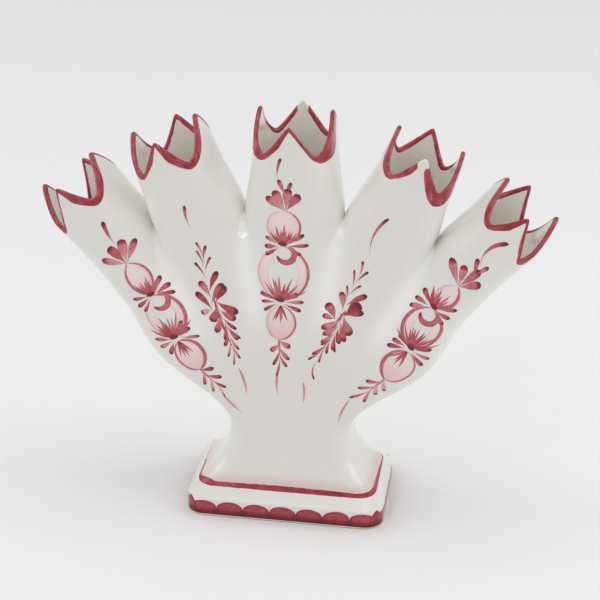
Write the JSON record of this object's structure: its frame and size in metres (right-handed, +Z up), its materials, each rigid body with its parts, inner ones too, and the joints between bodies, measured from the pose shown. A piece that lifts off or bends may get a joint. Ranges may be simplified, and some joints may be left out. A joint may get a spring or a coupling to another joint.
{
  "type": "quintal vase",
  "caption": "Fan-shaped flower vase: tapering finger tubes with zigzag mouths spread from a waisted hollow trunk on a stepped rectangular plinth, for holding single stems in water.",
  "frame": {"origin": "centre of the plinth's underside, on the surface that the vase stands on", "axes": "+X across the fan to the right, +Y to the back, +Z up; the painted front faces -Y"},
  "size_m": [0.2132, 0.054, 0.1763],
  "materials": {
    "white_glaze": "glossy tin glaze, faintly warm white, pooled grey-olive in the grooves and inside the fingers",
    "crimson_enamel": "hand-brushed crimson on-glaze colour, thin and pink where the brush ran dry",
    "bare_clay": "unglazed buff fired clay"
  },
  "bodies": {
    "root": {"base_slab": "bare_clay", "plinth": "white_glaze", "trunk": "white_glaze", "finger_outer_left": "white_glaze", "finger_inner_left": "white_glaze", "finger_centre": "white_glaze", "finger_inner_right": "white_glaze", "finger_outer_right": "white_glaze"}
  },
  "joints": []
}
